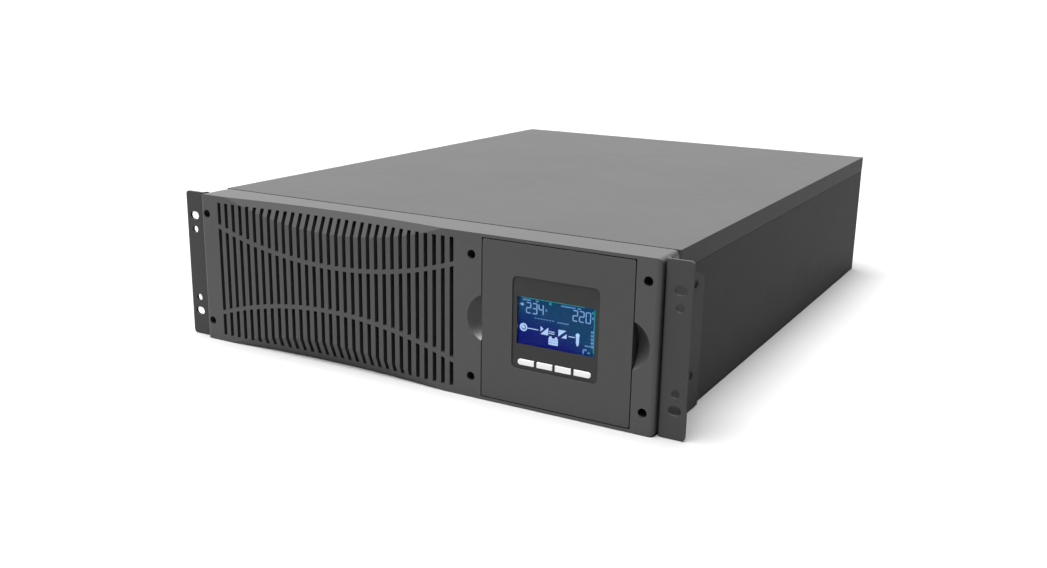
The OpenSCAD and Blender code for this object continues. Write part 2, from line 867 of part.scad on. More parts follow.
// Square frame with four struts that carry the bearing tube
module fan_housing(x) {
    front = case_d - sheet_t - fan_depth;
    back = case_d - sheet_t - 0.1;
    screw_offset = fan_screw_pitch / 2;
    color(black) {
        difference() {
            along_depth([front, back]) translate([x, fan_z]) round_rect(fan_size, fan_size, 4);
            rod(x, fan_z, fan_hole_d / 2, [front - 1, back + 1]);
            for (sx = [-1, 1], sz = [-1, 1])
                rod(x + sx * screw_offset, fan_z + sz * screw_offset, 2.1, [front - 1, back + 1]);
        }
        difference() {
            union() {
                rod(x, fan_z, 13, [front, front + 4]);
                rod(x, fan_z, 4, [front, front + 14]);
                for (turn = [45, 135, 225, 315])
                    translate([x, face_y + front, fan_z]) rotate([0, turn, 0])
                        translate([10, 0, -2]) cube([fan_hole_d / 2 - 9, 3, 4]);
            }
            rod(x, fan_z, fan_bore_r, [front - 1, front + 15]);
        }
    }
}

module fan_housing_left() {
    fan_housing(fan_xs[0]);
}

module fan_housing_right() {
    fan_housing(fan_xs[1]);
}

// Hub with a shaft and twisted blades
module fan_rotor(x) {
    front = case_d - sheet_t - fan_depth + 6;
    back = case_d - sheet_t - 3;
    color(black) {
        difference() {
            rod(x, fan_z, hub_r, [front, back]);
            rod(x, fan_z, hub_r - 2, [front - 1, back - 2]);
        }
        rod(x, fan_z, fan_shaft_r, [front - 4, back - 1]);
        intersection() {
            difference() {
                rod(x, fan_z, blade_r, [front, back]);
                rod(x, fan_z, hub_r - 1, [front - 1, back + 1]);
            }
            for (i = [0 : blade_count - 1])
                translate([x, face_y + (front + back) / 2, fan_z]) rotate([0, i * 360 / blade_count, 0])
                    rotate([38, 0, 0]) translate([hub_r - 2, -14, -0.8]) cube([blade_r, 28, 1.6]);
        }
    }
}

module fan_rotor_left() {
    fan_rotor(fan_xs[0]);
}

module fan_rotor_right() {
    fan_rotor(fan_xs[1]);
}

// Wire rings on two crossed wires, with an eye for each screw
module fan_guards() {
    wire_r = 0.9;
    ring_d = case_d + 2.5;
    spoke_d = ring_d - 1.5;
    spoke_reach = fan_screw_pitch * 0.66;
    screw_offset = fan_screw_pitch / 2;
    color(steel) for (x = fan_xs) {
        for (r = [9 : 7 : 37])
            translate([x, face_y + ring_d, fan_z]) rotate([90, 0, 0])
                rotate_extrude() translate([r, 0]) circle(wire_r);
        for (turn = [45, 135])
            translate([x, face_y + spoke_d, fan_z]) rotate([0, turn, 0]) translate([-spoke_reach, 0, 0])
                rotate([0, 90, 0]) cylinder(r = wire_r, h = 2 * spoke_reach);
        for (sx = [-1, 1], sz = [-1, 1])
            translate([x + sx * screw_offset, face_y + spoke_d, fan_z + sz * screw_offset])
                rotate([90, 0, 0]) rotate_extrude() translate([3.2, 0]) circle(wire_r);
    }
}

module fan_screws() {
    screw_offset = fan_screw_pitch / 2;
    color(zinc) for (x = fan_xs, sx = [-1, 1], sz = [-1, 1])
        screw(x + sx * screw_offset, fan_z + sz * screw_offset, case_d + 4.2, -1, 3.9, 2, 1.95, 20);
}

// ---------- rear fittings ----------

// Plate over the communication-card slot, held by two thumbscrews
module slot_cover() {
    color(charcoal) difference() {
        block([slot_x - 39, slot_x + 39], [case_d, case_d + sheet_t], [ports_z - 12, ports_z + 12]);
        for (side = [-1, 1]) rod(slot_x + side * 33, ports_z, 1.8, [case_d - 1, case_d + 2]);
    }
}

module slot_screws() {
    color(zinc) for (side = [-1, 1]) difference() {
        union() {
            rod(slot_x + side * 33, ports_z, 4, [case_d + sheet_t, case_d + sheet_t + 6]);
            rod(slot_x + side * 33, ports_z, 1.55, [case_d - 6, case_d + sheet_t + 1]);
        }
        for (i = [0 : 11]) translate([slot_x + side * 33, 0, ports_z]) rotate([0, i * 30, 0])
            translate([3.9, face_y + case_d + sheet_t + 0.8, -0.3]) cube([1, 6, 0.6]);
    }
}

// Nine-pin socket with a nut on each side
module serial_port() {
    pin_d = [case_d - 0.5, case_d + 5];
    pin_pitch = 2.77;
    color(steel) difference() {
        union() {
            block([serial_x - 15.4, serial_x + 15.4], [case_d, case_d + 0.8],
                [ports_z - 6.2, ports_z + 6.2]);
            block([serial_x - 9, serial_x + 9], [case_d - 8, case_d + 6], [ports_z - 5, ports_z + 5]);
            for (side = [-1, 1]) rod(serial_x + side * 12.5, ports_z, 2.6, [case_d, case_d + 5]);
        }
        block([serial_x - 8.2, serial_x + 8.2], [case_d, case_d + 7], [ports_z - 4.2, ports_z + 4.2]);
        for (side = [-1, 1]) rod(serial_x + side * 12.5, ports_z, 1.4, [case_d + 1, case_d + 6]);
    }
    color(brass) {
        for (i = [0 : 4]) rod(serial_x + (i - 2) * pin_pitch, ports_z + 1.42, 0.5, pin_d);
        for (i = [0 : 3]) rod(serial_x + (i - 1.5) * pin_pitch, ports_z - 1.42, 0.5, pin_d);
    }
}

// Square data port with a tongue
module usb_port() {
    color(steel) difference() {
        block([usb_x - 6, usb_x + 6], [case_d - 16, case_d + 1], [ports_z - 5.5, ports_z + 5.5]);
        block([usb_x - 4.3, usb_x + 4.3], [case_d - 9, case_d + 2], [ports_z - 4, ports_z + 4]);
    }
    color(white) block([usb_x - 2.8, usb_x + 2.8], [case_d - 9.5, case_d - 0.2],
        [ports_z - 1.6, ports_z + 1.6]);
}

// Two-pole plug-in terminal
module emergency_off_connector() {
    color([0.1, 0.45, 0.2]) difference() {
        block([stop_x - 5.8, stop_x + 5.8], [case_d - 10, case_d + 6], [ports_z - 4.8, ports_z + 4.8]);
        for (side = [-1, 1]) {
            rod(stop_x + side * 2.6, ports_z - 1.6, 1.3, [case_d, case_d + 7]);
            translate([stop_x + side * 2.6, face_y + case_d + 3, ports_z]) cylinder(r = 1.3, h = 6);
        }
    }
}

// Two-pole socket for an external battery
module battery_socket() {
    color([0.5, 0.08, 0.07]) difference() {
        block([battery_socket_x - 19.6, battery_socket_x + 19.6], [case_d - 24, case_d + 8],
            [ports_z - 9, ports_z + 9]);
        for (side = [-1, 1])
            block([battery_socket_x + side * 9.2 - 6.5, battery_socket_x + side * 9.2 + 6.5],
                [case_d - 8, case_d + 9], [ports_z - 5.5, ports_z + 5.5]);
    }
    color(zinc) for (side = [-1, 1])
        block([battery_socket_x + side * 9.2 - 5, battery_socket_x + side * 9.2 + 5],
            [case_d - 8.5, case_d + 4], [ports_z - 5.2, ports_z - 3.6]);
}

// Four three-pin outlets
module output_sockets() {
    color(black) for (x = outlet_xs, z = outlet_zs) difference() {
        union() {
            along_depth([case_d, case_d + 2]) translate([x, z]) round_rect(outlet_w, outlet_h, 2.5);
            block([x - outlet_w / 2 + 2.7, x + outlet_w / 2 - 2.7], [case_d - 18, case_d + 1],
                [z - outlet_h / 2 + 2.2, z + outlet_h / 2 - 2.2]);
        }
        difference() {
            along_depth([case_d - 15, case_d + 3]) translate([x, z]) round_rect(25.5, 17.5, 3);
            along_depth([case_d - 16, case_d + 4]) translate([x, z]) round_rect(20.5, 12.5, 2);
        }
        for (side = [-1, 1])
            block([x + side * 7 - 1.1, x + side * 7 + 1.1], [case_d - 14, case_d + 3], [z - 4.2, z + 0.8]);
        block([x - 1.1, x + 1.1], [case_d - 14, case_d + 3], [z, z + 5]);
    }
}

// Six clamps side by side, each with a screw head
module terminal_block() {
    pole_pitch = 10.6;
    color(black) difference() {
        block([terminal_x - 33, terminal_x + 33], [case_d - 22, case_d + 4],
            [terminal_z - 15, terminal_z + 15]);
        for (i = [0 : 5]) {
            x = terminal_x + (i - 2.5) * pole_pitch;
            block([x - 4, x + 4], [case_d - 4, case_d + 5], [terminal_z - 11, terminal_z + 11]);
        }
    }
    color(zinc) for (i = [0 : 5])
        rod(terminal_x + (i - 2.5) * pole_pitch, terminal_z, 3, [case_d - 4.2, case_d + 0.5]);
}

// Screwed sheet box over the terminals, with a hole for each cable gland
module terminal_cover() {
    w = terminal_w / 2;
    h = terminal_h / 2;
    box_w = w - 8;
    color(charcoal) difference() {
        union() {
            difference() {
                block([terminal_x - box_w, terminal_x + box_w], [case_d, case_d + terminal_d],
                    [terminal_z - h, terminal_z + h]);
                block([terminal_x - box_w + sheet_t, terminal_x + box_w - sheet_t],
                    [case_d - 1, case_d + terminal_d - sheet_t],
                    [terminal_z - h + sheet_t, terminal_z + h - sheet_t]);
            }
            for (side = [-1, 1])
                block([terminal_x + side * (w - 4.5) - 4.5, terminal_x + side * (w - 4.5) + 4.5],
                    [case_d, case_d + sheet_t], [terminal_z - h, terminal_z + h]);
        }
        for (sx = [-1, 1], sz = [-1, 1])
            rod(terminal_x + sx * (w - 4), terminal_z + sz * (h - 4), 1.8, [case_d - 1, case_d + 2]);
        for (side = [-1, 1])
            rod(terminal_x + side * gland_offset, gland_z, gland_r - 1.5,
                [case_d + 5, case_d + terminal_d + 1]);
    }
}

module terminal_screws() {
    color(zinc) for (sx = [-1, 1], sz = [-1, 1])
        screw(terminal_x + sx * (terminal_w / 2 - 4), terminal_z + sz * (terminal_h / 2 - 4),
            case_d + sheet_t + 1.8, -1, 3, 1.8, 1.55, 8);
}

// Round bushings in the terminal cover
module cable_glands() {
    cover_d = case_d + terminal_d;
    color(black) for (side = [-1, 1]) difference() {
        x = terminal_x + side * gland_offset;
        union() {
            rod(x, gland_z, gland_r, [cover_d, case_d + rear_reach]);
            rod(x, gland_z, gland_r - 1.6, [cover_d - 5, cover_d + 0.5]);
        }
        rod(x, gland_z, gland_bore_r, [cover_d - 7, case_d + rear_reach + 1]);
    }
}

// Two-pole breaker with a recess round its lever
module breaker_body() {
    half = breaker_w / 2 - 0.4;
    tall = breaker_h / 2 - 0.4;
    recess = 10.5;
    pin_half = lever_pin / 2 + 0.5;
    color([0.12, 0.12, 0.12]) difference() {
        union() {
            block([breaker_x - half, breaker_x + half], [case_d - 50, case_d + 3],
                [breaker_z - tall, breaker_z + tall]);
            block([breaker_x - half, breaker_x + half], [case_d + 2, case_d + 6],
                [breaker_z - 14, breaker_z + 14]);
        }
        block([breaker_x - recess, breaker_x + recess], [case_d - 10, case_d + 7],
            [breaker_z - recess, breaker_z + recess]);
        cross_rod([breaker_x - pin_half, breaker_x + pin_half], lever_d, breaker_z, lever_bore_r);
    }
}

// The lever turns on a pin across the body, in the middle of its recess
module breaker_lever() {
    color(black) {
        cross_rod([breaker_x - 10, breaker_x + 10], lever_d, breaker_z, 6);
        cross_rod([breaker_x - lever_pin / 2, breaker_x + lever_pin / 2], lever_d, breaker_z, lever_pin_r);
        translate([breaker_x - 8, face_y + lever_d, breaker_z]) rotate([25, 0, 0])
            translate([0, 0, -2]) cube([16, 15, 4]);
    }
}

// Earth stud with two nuts
module ground_stud() {
    color(brass) {
        rod(stud_x, stud_z, 2.5, [case_d - 8, case_d + 14]);
        for (nut_d = [0, 5])
            translate([stud_x, face_y + case_d + nut_d, stud_z]) rotate([-90, 0, 0])
                cylinder(r = 4.6, h = 3.8, $fn = 6);
    }
}

base_tray();
top_cover();
rear_panel();
front_frame();
front_bezel();
dust_filter();
bezel_screws();
rack_ear_left();
rack_ear_right();
ear_screws();
cover_screws();
panel_pocket();
display_panel();
display_back_cover();
panel_latches();
display_surround();
display_lens();
lcd_module();
display_board();
panel_screws();
key_switches();
key_escape();
key_up();
key_down();
key_enter();
battery_tray();
battery_blocks();
battery_terminals();
battery_links();
battery_retainer();
power_board();
heat_sinks();
toroid_chokes();
dc_capacitors();
transformer();
relays();
mains_filter();
control_board();
board_standoffs();
fan_housing_left();
fan_housing_right();
fan_rotor_left();
fan_rotor_right();
fan_guards();
fan_screws();
slot_cover();
slot_screws();
serial_port();
usb_port();
emergency_off_connector();
battery_socket();
output_sockets();
terminal_block();
terminal_cover();
terminal_screws();
cable_glands();
breaker_body();
breaker_lever();
ground_stud();
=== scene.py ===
import json
import math

import bmesh
import bpy
from mathutils import Matrix, Vector


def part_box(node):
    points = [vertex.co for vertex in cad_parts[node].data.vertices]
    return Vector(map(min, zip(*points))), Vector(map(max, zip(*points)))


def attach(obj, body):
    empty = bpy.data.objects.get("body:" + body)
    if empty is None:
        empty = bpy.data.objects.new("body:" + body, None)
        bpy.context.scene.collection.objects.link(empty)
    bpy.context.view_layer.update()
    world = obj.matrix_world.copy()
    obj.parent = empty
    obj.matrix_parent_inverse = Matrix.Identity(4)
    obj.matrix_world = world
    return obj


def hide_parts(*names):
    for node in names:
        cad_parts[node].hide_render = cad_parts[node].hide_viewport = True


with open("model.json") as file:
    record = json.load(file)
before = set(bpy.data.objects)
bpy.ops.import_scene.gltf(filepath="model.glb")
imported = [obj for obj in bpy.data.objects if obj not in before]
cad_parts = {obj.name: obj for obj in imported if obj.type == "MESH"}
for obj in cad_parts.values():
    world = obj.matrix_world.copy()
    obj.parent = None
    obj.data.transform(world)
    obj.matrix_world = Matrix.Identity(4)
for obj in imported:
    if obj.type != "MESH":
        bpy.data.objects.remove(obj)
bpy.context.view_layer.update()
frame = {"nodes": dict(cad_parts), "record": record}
MM = 0.001

# ---------------------------------------------------------------- camera

# Angles in degrees, distances in millimetres
CAMERA_AZIMUTH = 29.4
CAMERA_ELEVATION = 14.98
CAMERA_ROLL = 1.05
CAMERA_PLACE = (489.7, -982.7, 305.7)
FOCAL_MM = 36.96
SENSOR_MM = 36.0
# In metres from the camera
NEAREST_SEEN = 0.01
FARTHEST_SEEN = 100


def make_camera():
    """A camera that sees the object from where the photo does."""
    az, el, roll = (math.radians(a) for a in (CAMERA_AZIMUTH, CAMERA_ELEVATION, CAMERA_ROLL))
    back = Vector((math.sin(az) * math.cos(el), -math.cos(az) * math.cos(el), math.sin(el)))
    right = Vector((0, 0, 1)).cross(back).normalized()
    up = back.cross(right)
    rolled_right = math.cos(roll) * right + math.sin(roll) * up
    rolled_up = -math.sin(roll) * right + math.cos(roll) * up
    turn = Matrix((rolled_right, rolled_up, back)).transposed().to_4x4()
    data = bpy.data.cameras.new("camera")
    data.sensor_width = SENSOR_MM
    data.lens = FOCAL_MM
    data.clip_start = NEAREST_SEEN
    data.clip_end = FARTHEST_SEEN
    camera = bpy.data.objects.new("camera", data)
    camera.matrix_world = Matrix.Translation(Vector(CAMERA_PLACE) * MM) @ turn
    bpy.context.scene.collection.objects.link(camera)
    bpy.context.scene.camera = camera


make_camera()

# ---------------------------------------------------------------- materials

# The part of a pattern's range that a blend or a spread runs over
PATTERN_LOW = 0.3
PATTERN_HIGH = 0.7

# Scales of patterns: a larger one is finer
COLOUR_SCALE = 9
GLOSS_SCALE = 55
BOARD_GLOSS_SCALE = 80
LENS_SCALE = 30
MARK_SCALE = 400
FOAM_CELL_SCALE = 700.0
TRACK_SCALE = 90.0
WINDING_SCALE = 260.0

GLOSS_CHANGE = 0.012
GRAIN_DETAIL = 2.0
GRAIN_STRENGTH = 4

# Heights of bumps, in metres
GRAIN_HEIGHT = 0.0002
FOAM_HEIGHT = 0.001
TRACK_HEIGHT = 0.0001
WINDING_HEIGHT = 0.0006

# The display's window, in millimetres
WINDOW_WIDTH = 65
WINDOW_HEIGHT = 37.2

# The window's colour follows height, from 0 to 1, plus a share that rises near the right-hand edge
EDGE_SHARE = 0.75
EDGE_POWER = 2.6
WINDOW_COLOURS = (
    (0.25, (0.0, 0.002, 0.2, 1.0)),
    (0.5, (0.0, 0.022, 0.19, 1.0)),
    (26 / 35, (0.001, 0.062, 0.17, 1.0)),
)
WINDOW_GLOW = 0.65

# What the lit window and its marks have in common
MATT = {"Roughness": 0.6, "Specular IOR Level": 0.1}


def tint(colour, factor):
    """A colour made lighter or darker, with full alpha."""
    return tuple(min(1.0, c * factor) for c in colour) + (1.0,)


def grey(level):
    return (level, level, level, 1.0)


def set_ramp(node, stops):
    """Gives a colour ramp its stops: places and colours, from the lowest place up."""
    elements = node.color_ramp.elements
    for i, (place, colour) in enumerate(stops):
        stop = elements[i] if i < len(elements) else elements.new(place)
        stop.position = place
        stop.color = colour


class Nodes:
    """A small helper that adds nodes to a material and links them."""

    def __init__(self, name):
        self.material = bpy.data.materials.new(name)
        self.material.use_nodes = True
        self.tree = self.material.node_tree
        self.shader = self.tree.nodes["Principled BSDF"]
        self.place = self.add("ShaderNodeTexCoord").outputs["Object"]

    def add(self, kind, **values):
        """Adds a node. A value is one of its settings, or else goes to the input of that name,
        in which an underscore stands for a space."""
        node = self.tree.nodes.new(kind)
        for key, value in values.items():
            if hasattr(node, key):
                setattr(node, key, value)
            else:
                node.inputs[key.replace("_", " ")].default_value = value
        return node

    def link(self, output, target):
        self.tree.links.new(output, target)

    def shade(self, values):
        """Sets inputs of the shader, by name."""
        for name, value in values.items():
            self.shader.inputs[name].default_value = value

    def feed(self, output, name):
        """Links an output to an input of the shader."""
        self.link(output, self.shader.inputs[name])

    def noise(self, scale, detail=3.0, stretch=None):
        node = self.add("ShaderNodeTexNoise", Scale=scale, Detail=detail)
        source = self.place
        if stretch:
            mapping = self.add("ShaderNodeMapping", Scale=stretch)
            self.link(source, mapping.inputs["Vector"])
            source = mapping.outputs["Vector"]
        self.link(source, node.inputs["Vector"])
        return node.outputs["Fac"]

    def spread(self, value, low, high, source=(PATTERN_LOW, PATTERN_HIGH)):
        """Stretches a pattern's values to the range from low to high."""
        node = self.add("ShaderNodeMapRange", From_Min=source[0], From_Max=source[1],
                        To_Min=low, To_Max=high)
        self.link(value, node.inputs["Value"])
        return node.outputs["Result"]

    def blend(self, value, first, second):
        """Runs from one colour to another with a pattern's values."""
        return self.ramp(value, ((PATTERN_LOW, first), (PATTERN_HIGH, second)))

    def ramp(self, value, stops):
        node = self.add("ShaderNodeValToRGB")
        set_ramp(node, stops)
        self.link(value, node.inputs["Fac"])
        return node.outputs["Color"]

    def bump(self, height, strength, distance):
        node = self.add("ShaderNodeBump", Strength=strength, Distance=distance)
        self.link(height, node.inputs["Height"])
        self.feed(node.outputs["Normal"], "Normal")


def surface(name, colour, rough, metallic=0.0, grain=1500, depth=0.05, vary=0.03, specular=0.5,
            stretch=None):
    """Paint, moulded plastic or metal: a fine grain and slow changes of colour and gloss."""
    n = Nodes(name)
    n.shade({"Metallic": metallic, "Specular IOR Level": specular})
    n.feed(n.blend(n.noise(COLOUR_SCALE), tint(colour, 1 - vary), tint(colour, 1 + vary)),
           "Base Color")
    n.feed(n.spread(n.noise(GLOSS_SCALE), rough - GLOSS_CHANGE, rough + GLOSS_CHANGE), "Roughness")
    n.bump(n.noise(grain, GRAIN_DETAIL, stretch), depth * GRAIN_STRENGTH, GRAIN_HEIGHT)
    return n.material


def foam(name, colour):
    """Open foam: cells that are lighter in the middle than at their edges."""
    n = Nodes(name)
    cells = n.add("ShaderNodeTexVoronoi", Scale=FOAM_CELL_SCALE)
    n.link(n.place, cells.inputs["Vector"])
    n.feed(n.blend(cells.outputs["Distance"], tint(colour, 1.6), tint(colour, 0.3)), "Base Color")
    n.shade({"Roughness": 0.95, "Specular IOR Level": 0.1})
    n.bump(cells.outputs["Distance"], 0.8, FOAM_HEIGHT)
    return n.material


def circuit_board(name, colour):
    """A varnished board with lighter tracks."""
    n = Nodes(name)
    tracks = n.add("ShaderNodeTexBrick", Scale=TRACK_SCALE, Mortar_Size=0.03,
                   Color1=tint(colour, 1.0), Color2=tint(colour, 0.8), Mortar=tint(colour, 2.4))
    n.link(n.place, tracks.inputs["Vector"])
    n.feed(tracks.outputs["Color"], "Base Color")
    n.feed(n.spread(n.noise(BOARD_GLOSS_SCALE), 0.25, 0.35), "Roughness")
    n.bump(tracks.outputs["Fac"], 0.3, TRACK_HEIGHT)
    return n.material


def windings(name, colour):
    """Turns of enamelled wire, darker in the grooves between turns: painted shade that follows the
    bump.
    """
    n = Nodes(name)
    turns = n.add("ShaderNodeTexWave", Scale=WINDING_SCALE, Distortion=0.6)
    n.link(n.place, turns.inputs["Vector"])
    # Painted shade: the colour darkens where the wave is low, in the grooves between turns
    n.feed(n.blend(turns.outputs["Fac"], tint(colour, 0.45), tint(colour, 1.1)), "Base Color")
    n.shade({"Metallic": 0.8, "Roughness": 0.32})
    n.bump(turns.outputs["Fac"], 0.7, WINDING_HEIGHT)
    return n.material


def clear_lens(name):
    n = Nodes(name)
    n.feed(n.blend(n.noise(LENS_SCALE), (0.86, 0.93, 1.0, 1.0), (0.94, 0.97, 1.0, 1.0)),
           "Base Color")
    n.shade({"Transmission Weight": 1.0, "Roughness": 0.04, "IOR": 1.1})
    return n.material


def lit_display(name, centre, width, height):
    """The display's backlight: deep blue at the lower left, teal at the top and the right."""
    n = Nodes(name)
    parts = n.add("ShaderNodeSeparateXYZ")
    n.link(n.place, parts.inputs["Vector"])
    across = n.spread(parts.outputs["X"], 0.0, 1.0, (centre.x - width / 2, centre.x + width / 2))
    upward = n.spread(parts.outputs["Z"], 0.0, 1.0, (centre.z - height / 2, centre.z + height / 2))
    power = n.add("ShaderNodeMath", operation="POWER")
    n.link(across, power.inputs[0])
    power.inputs[1].default_value = EDGE_POWER
    total = n.add("ShaderNodeMath", operation="MULTIPLY_ADD")
    n.link(power.outputs["Value"], total.inputs[0])
    total.inputs[1].default_value = EDGE_SHARE
    n.link(upward, total.inputs[2])
    n.feed(n.ramp(total.outputs["Value"], WINDOW_COLOURS), "Emission Color")
    n.shade({"Base Color": (0.0, 0.004, 0.012, 1.0), "Emission Strength": WINDOW_GLOW, **MATT})
    return n.material


def lit_mark(name, colour, strength):
    """A bright mark in front of the backlight."""
    n = Nodes(name)
    n.feed(n.blend(n.noise(MARK_SCALE), tint(colour, 0.8), tint(colour, 1.0)), "Emission Color")
    n.shade({"Base Color": tint(colour, 0.05), "Emission Strength": strength, **MATT})
    return n.material


lcd_low, lcd_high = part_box("lcd_module")
lcd_middle = (lcd_low + lcd_high) / 2

MATERIALS = {
    "bezel_plastic": surface("bezel_plastic", (0.026, 0.026, 0.0264), 0.45, grain=2600, depth=0.04),
    # The top cover and the base tray wear one paint in two copies: cover_paint is the lighter one,
    # painted light that brightens the top, and case_paint the darker one, painted shade on the
    # sides
    "case_paint": surface("case_paint", (0.034, 0.034, 0.0346), 0.5, grain=1800, depth=0.04,
                          specular=0.02),
    "cover_paint": surface("cover_paint", (0.047, 0.047, 0.0478), 0.45, grain=1800, depth=0.04,
                           specular=0.02),
    "ear_paint": surface("ear_paint", (0.038, 0.038, 0.0386), 0.5, grain=1800, depth=0.05,
                         specular=0.03),
    "panel_plastic": surface("panel_plastic", (0.0205, 0.0205, 0.021), 0.45, grain=2600,
                             depth=0.04),
    "surround_plastic": surface("surround_plastic", (0.009, 0.009, 0.009), 0.36, grain=3000,
                                depth=0.03, specular=0.35),
    "display_glass": clear_lens("display_glass"),
    "display_blue": lit_display("display_blue", lcd_middle, WINDOW_WIDTH * MM, WINDOW_HEIGHT * MM),
    "key_white": surface("key_white", (0.5, 0.5, 0.495), 0.35, grain=2000, depth=0.02, vary=0.02),
    "black_plastic": surface("black_plastic", (0.012, 0.012, 0.012), 0.45, grain=2200, depth=0.05),
    "black_screw": surface("black_screw", (0.01, 0.01, 0.01), 0.6, grain=2500, depth=0.06,
                           specular=0.05),
    "filter_foam": foam("filter_foam", (0.006, 0.006, 0.006)),
    "bright_steel": surface("bright_steel", (0.55, 0.56, 0.57), 0.28, metallic=1.0, grain=900,
                            depth=0.04, vary=0.08),
    "zinc_plate": surface("zinc_plate", (0.6, 0.6, 0.55), 0.38, metallic=1.0, grain=600,
                          depth=0.06, vary=0.12),
    "sink_aluminium": surface("sink_aluminium", (0.7, 0.71, 0.72), 0.42, metallic=1.0, grain=900,
                              depth=0.05, vary=0.05, stretch=(1, 0.03, 1)),
    "winding_copper": windings("winding_copper", (0.75, 0.33, 0.14)),
    "terminal_brass": surface("terminal_brass", (0.75, 0.55, 0.22), 0.3, metallic=1.0, grain=900,
                              depth=0.05, vary=0.08),
    "board_green": circuit_board("board_green", (0.012, 0.12, 0.045)),
    "capacitor_sleeve": surface("capacitor_sleeve", (0.02, 0.03, 0.07), 0.28, grain=400,
                                depth=0.02),
    "ferrite": surface("ferrite", (0.035, 0.032, 0.03), 0.7, grain=700, depth=0.1),
    "film_yellow": surface("film_yellow", (0.6, 0.42, 0.05), 0.35, grain=700, depth=0.03),
    "battery_case": surface("battery_case", (0.03, 0.03, 0.033), 0.5, grain=1200, depth=0.06),
    "connector_red": surface("connector_red", (0.36, 0.02, 0.016), 0.42, grain=1500, depth=0.05),
    "connector_green": surface("connector_green", (0.02, 0.24, 0.06), 0.4, grain=1500, depth=0.05),
}

slot_of = {entry["node"]: entry["material_slot"] for entry in frame["record"]["subparts"]}
for node_name, cad in frame["nodes"].items():
    cad.data.materials.clear()
    cad.data.materials.append(MATERIALS[slot_of[node_name]])

# ---------------------------------------------------------------- rounded edges

# Vertices closer together than this, in metres, are one
SAME_PLACE = 2e-6

# Angles between faces, in degrees: below the first they are one flat face, above the second
# the edge between them is sharp
FLAT_BELOW = 0.6
SHARP_ABOVE = 35

ROUNDING_SEGMENTS = 2
ROUND_PROFILE = 0.5

# Faces with more corners than this are split into triangles
MOST_CORNERS = 4

# The most that a large face can count for in the normals of its corners
LARGE_FACE_WEIGHT = 100

# How far each softened node's sharp edges are rounded, in millimetres
ROUNDING = {
    "top_cover": 0.5,
    "rack_ear_left": 0.2,
    "rack_ear_right": 0.2,
    "display_panel": 0.5,
    "display_surround": 0.3,
    "key_escape": 0.4,
    "key_up": 0.4,
    "key_down": 0.4,
    "key_enter": 0.4,
    "battery_socket": 0.5,
    "emergency_off_connector": 0.3,
    "output_sockets": 0.3,
    "terminal_cover": 0.5,
    "breaker_body": 0.4,
    "breaker_lever": 0.4,
    "base_tray": 0.4,
    "slot_cover": 0.25,
}


def body_of(node):
    for body, members in frame["record"]["behaviour"]["bodies"].items():
        if node in members:
            return body


def new_piece(name, bm):
    """An object in the scene with the mesh that was built in bm, which is freed."""
    mesh = bpy.data.meshes.new(name)
    bm.to_mesh(mesh)
    bm.free()
    piece = bpy.data.objects.new(name, mesh)
    bpy.context.scene.collection.objects.link(piece)
    return piece


def finish_piece(piece, body, material):
    """Puts a finished piece on its body, with its material."""
    piece.data.materials.append(material)
    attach(piece, body)


def soften(node, width):
    """Replaces a CAD node with a copy whose sharp edges are rounded."""
    sharp_angle = math.radians(SHARP_ABOVE)
    bm = bmesh.new()
    bm.from_mesh(frame["nodes"][node].data)
    bmesh.ops.remove_doubles(bm, verts=bm.verts, dist=SAME_PLACE)
    bmesh.ops.dissolve_limit(bm, angle_limit=math.radians(FLAT_BELOW), verts=bm.verts,
                             edges=bm.edges)
    sharp = [e for e in bm.edges if len(e.link_faces) == 2 and e.calc_face_angle(0) > sharp_angle]
    bmesh.ops.bevel(bm, geom=sharp, offset=width, segments=ROUNDING_SEGMENTS,
                    profile=ROUND_PROFILE, affect="EDGES", clamp_overlap=True,
                    offset_type="OFFSET")
    bmesh.ops.triangulate(bm, faces=[f for f in bm.faces if len(f.verts) > MOST_CORNERS])
    piece = new_piece("rounded_" + node, bm)
    piece.data.shade_smooth()
    piece.data.set_sharp_from_angle(angle=sharp_angle)
    even = piece.modifiers.new("even_normals", "WEIGHTED_NORMAL")
    even.keep_sharp = True
    even.weight = LARGE_FACE_WEIGHT
    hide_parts(node)
    finish_piece(piece, body_of(node), MATERIALS[slot_of[node]])


for node_name, width in ROUNDING.items():
    soften(node_name, width * MM)

# ---------------------------------------------------------------- display graphics

# One unit of the graphics: the window is 61 of them wide
GRAPHIC_UNIT = WINDOW_WIDTH / 61 * MM

# The marks are thin plates that stand clear of the display module's front, in millimetres
MARK_FRONT = 0.35
MARK_THICKNESS = 0.3

ROUND_SIDES = 24

# The seven strokes of a digit: two ends each, on a grid one unit wide and two units high
STROKES = {"a": ((0, 2), (1, 2)), "b": ((1, 2), (1, 1)), "c": ((1, 1), (1, 0)),
           "d": ((0, 0), (1, 0)), "e": ((0, 1), (0, 0)), "f": ((0, 2), (0, 1)),
           "g": ((0, 1), (1, 1))}
DIGITS = {"0": "abcdef", "2": "abged", "3": "abgcd", "4": "fgbc"}

# In graphic units: the digits' width and height, the step from one to the next, the strokes'
# width, and how far a stroke falls short of its line in the grid
DIGIT_WIDTH = 3.4
DIGIT_HEIGHT = 7.4
DIGIT_PITCH = 5.0
STROKE_WIDTH = 0.7
STROKE_GAP = STROKE_WIDTH * 0.6


